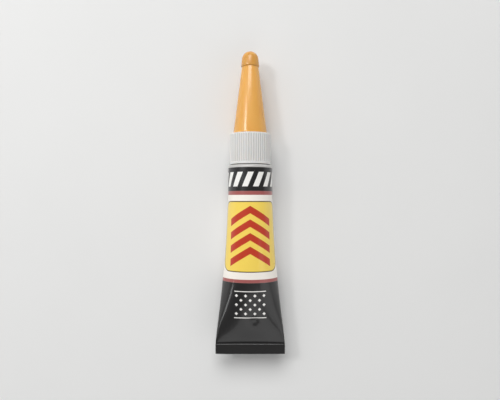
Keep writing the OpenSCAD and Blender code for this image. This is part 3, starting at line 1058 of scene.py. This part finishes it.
# %% [markdown]
# ## What sits inside
# A foil disc closes the neck until the pricker pierces it, a soft ring seals the nozzle on the neck, the
# glue lies in the lower half of the tube, and a bead of compound fills the flat end. The frame's own
# solids could stand in for them, but the foil and the washer come to light when the nozzle is off, so
# each piece gets its own shape and finish.

# %% Foil and washer
FOIL_LIFT, FOIL_DIP = 0.02, 0.03
LOW_DISC, LOW_EDGE = 0.7, 0.78
TOP_DISC, TOP_EDGE = 0.74, 0.82
FOIL_ROUND, WASHER_ROUND = 0.03, 0.1

FOIL_R = half_width_of("neck_seal")
foil_low, foil_top = heights_of("neck_seal")
foil_profile = rounded([
    (0, foil_low + FOIL_LIFT),
    (FOIL_R * LOW_DISC, foil_low + FOIL_LIFT),
    (FOIL_R * LOW_EDGE, foil_low),
    (FOIL_R, foil_low, FOIL_ROUND),
    (FOIL_R, foil_top, FOIL_ROUND),
    (FOIL_R * TOP_EDGE, foil_top),
    (FOIL_R * TOP_DISC, foil_top - FOIL_DIP),
    (0, foil_top - FOIL_DIP)])
neck_foil = ring_mesh("neck_foil", turned(foil_profile))
merge_poles(neck_foil)
stand_for(neck_foil, "neck_seal", "tube")

WASHER_R = half_width_of("nozzle_washer")
washer_low, washer_top = heights_of("nozzle_washer")
washer_profile = rounded([
    (WASHER_R, washer_low, WASHER_ROUND),
    (WASHER_R, washer_top, WASHER_ROUND),
    (NECK_BORE_R, washer_top, WASHER_ROUND),
    (NECK_BORE_R, washer_low, WASHER_ROUND)], closed=True)
soft_washer = ring_mesh("soft_washer", turned(washer_profile), looped=True)
stand_for(soft_washer, "nozzle_washer", "washer")

# %% Glue and tail bead
FILL_INSET = WALL + 0.08
FILL_RINGS = 40
POOL_ROWS = 7


def fill_rings(top_share, low_share):
    """Rings that follow the inside of the body between two shares of its length."""
    shares = np.linspace(top_share, low_share, FILL_RINGS)
    return np.array([body_ring(share, FILL_INSET) for share in shares])


def share_at(height):
    """Share of the way from barrel to tail at a height."""
    return (-height - BARREL_LEN) / TAIL_LEN


bead_low, bead_top = heights_of("tail_sealant")
tail_bead = ring_mesh("tail_bead", fill_rings(share_at(bead_top), share_at(bead_low)), flat_ends=True)
stand_for(tail_bead, "tail_sealant", "tube")

glue_low, glue_top = heights_of("adhesive")
glue_level = boxes["adhesive"][1][2] - BARREL_R
pool_heights = np.linspace(glue_top, -BARREL_LEN, POOL_ROWS + 1)[:-1]
pool_rings = turned([(BARREL_R - FILL_INSET, height) for height in pool_heights])
glue_rings = np.concatenate([pool_rings, fill_rings(0, share_at(glue_low))])
glue_rings[:, :, 1] = np.minimum(glue_rings[:, :, 1], glue_level)
glue_pool = ring_mesh("glue_pool", glue_rings, flat_ends=True)
stand_for(glue_pool, "adhesive", "tube")

# %% [markdown]
# The foil is thin aluminium with a pressed grain, the washer and the bead are soft and dull, and the
# glue is a clear thin liquid with a faint straw tint. Each could have a function of its own, but in all
# four the tone, the gloss and the relief follow one noise, so one recipe serves them.

# %% Finishes of the inner pieces
GRAIN_RELIEF = 0.01


def grained(name, dull, pale, grain, detail, gloss, spread, sockets=()):
    """A finish whose tone, gloss and relief follow one noise. The sockets are the same all over."""
    material, tree, shader = new_material(name)
    skin = noise(tree, grain, detail)
    two_tone(shader, skin, dull, pale)
    vary_roughness(shader, skin, gloss, spread)
    emboss(shader, [(skin, GRAIN_RELIEF)])
    for socket, value in sockets:
        shader.inputs[socket].default_value = value
    return material


inner_finishes = (
    (neck_foil, grained(
        "pressed_foil", srgb(205, 206, 208), srgb(228, 228, 226),
        grain=0.25, detail=3.0, gloss=0.3, spread=0.1, sockets=[("Metallic", 1)])),
    (soft_washer, grained(
        "washer_rubber", srgb(212, 212, 208), srgb(226, 226, 222),
        grain=0.2, detail=4.0, gloss=0.65, spread=0.08)),
    (tail_bead, grained(
        "tail_compound", srgb(184, 170, 142), srgb(200, 188, 160),
        grain=0.2, detail=4.0, gloss=0.65, spread=0.08)),
    (glue_pool, grained(
        "clear_glue", srgb(240, 238, 222), srgb(248, 247, 236), grain=3.0, detail=1.0,
        gloss=0.05, spread=0.02, sockets=[("Transmission Weight", 0.9), ("IOR", 1.44)])))
for inner_piece, inner_finish in inner_finishes:
    inner_piece.data.materials.append(inner_finish)
    print("finish on", inner_piece.name, ":", inner_finish.name)

# %% [markdown]
# ## Floor and light
# A plain pale floor and soft studio light. A curved backdrop is the usual studio way, but a floor that
# melts into a pale sky needs no bend. The key lamp is large and stands high at the cap's end, a smaller
# one lifts the left side, and a narrow one draws the bright streak low on the cone. The dark tail shows
# its shape only by what it reflects, so three dim lamps stand round it.

# %% Floor
FLOOR_HALF = 3.0
FLOOR_FADE, FLOOR_BLUR = 480, 700


def pale_floor():
    """Pale matt paper that melts into the backdrop at some distance."""
    material, tree, shader = new_material("pale_floor")
    cloud = noise(tree, grain=40.0)
    two_tone(shader, cloud, srgb(229, 229, 228), srgb(233, 233, 232))
    vary_roughness(shader, cloud, middle=0.85, spread=0.05)
    shader.inputs["Specular IOR Level"].default_value = 0.15
    length = tree.nodes.new("ShaderNodeVectorMath")
    length.operation = "LENGTH"
    tree.links.new(place_in_mm(tree), length.inputs[0])
    shown = Wire(tree, length.outputs["Value"]).between(-FLOOR_FADE, FLOOR_FADE, FLOOR_BLUR)
    shown.drive(shader.inputs["Alpha"])
    return material


floor_corners = [(x * FLOOR_HALF, y * FLOOR_HALF, 0) for x, y in ((-1, -1), (1, -1), (1, 1), (-1, 1))]
floor_mesh = bpy.data.meshes.new("floor")
floor_mesh.from_pydata(floor_corners, [], [(0, 1, 2, 3)])
floor_mesh.materials.append(pale_floor())
floor = bpy.data.objects.new("floor", floor_mesh)
bpy.context.scene.collection.objects.link(floor)
print("floor half width", FLOOR_HALF, "m")

# %% Lamps
MIDDLE = (0, 0, BARREL_R * MM)
TAIL = (0, -0.03, BARREL_R * MM)
LAMPS = (  # name, place and target in metres, size, power
    ("key", (-0.07, 0.65, 0.65), MIDDLE, (0.58, 0.44), 5.35),
    ("left", (-0.35, 0.18, 0.32), MIDDLE, (0.30, 0.30), 0.26),
    ("cone_streak", (-0.235, 0.14, 0.34), MIDDLE, (0.07, 0.08), 0.36),
    ("tail_fill", (0.08, -0.44, 0.40), TAIL, (0.45, 0.36), 0.42),
    ("tail_side", (0.50, -0.27, 0.35), TAIL, (0.30, 0.40), 0.35),
    ("tail_streak", (-0.53, -0.20, 0.24), TAIL, (0.05, 0.05), 0.06))
for name, place, target, size, power in LAMPS:
    lamp = bpy.data.objects.new(name, bpy.data.lights.new(name, "AREA"))
    lamp.data.shape = "RECTANGLE"
    lamp.data.size, lamp.data.size_y = size
    lamp.data.energy = power
    lamp.location = place
    lamp.rotation_euler = (Vector(target) - Vector(place)).to_track_quat("-Z", "Y").to_euler()
    bpy.context.scene.collection.objects.link(lamp)
    print("lamp", name, "of", power, "W")

# %% Sky
def studio_sky(overhead, horizon, edge, blur):
    """A pale wall all round, up to the sine of its edge, and a dimmer ceiling over it."""
    world = bpy.data.worlds.new("studio")
    world.use_nodes = True
    tree = world.node_tree
    background = tree.nodes["Background"]
    background.inputs["Color"].default_value = (1, 1, 1, 1)
    coordinates = tree.nodes.new("ShaderNodeTexCoord")
    _, _, up = split_place(tree, coordinates.outputs["Generated"])
    brightness = up.below(edge, blur) * (horizon - overhead) + overhead
    brightness.drive(background.inputs["Strength"])
    bpy.context.scene.world = world


studio_sky(overhead=0.2, horizon=0.82, edge=0.18, blur=0.2)
print("sky:", bpy.context.scene.world.name)
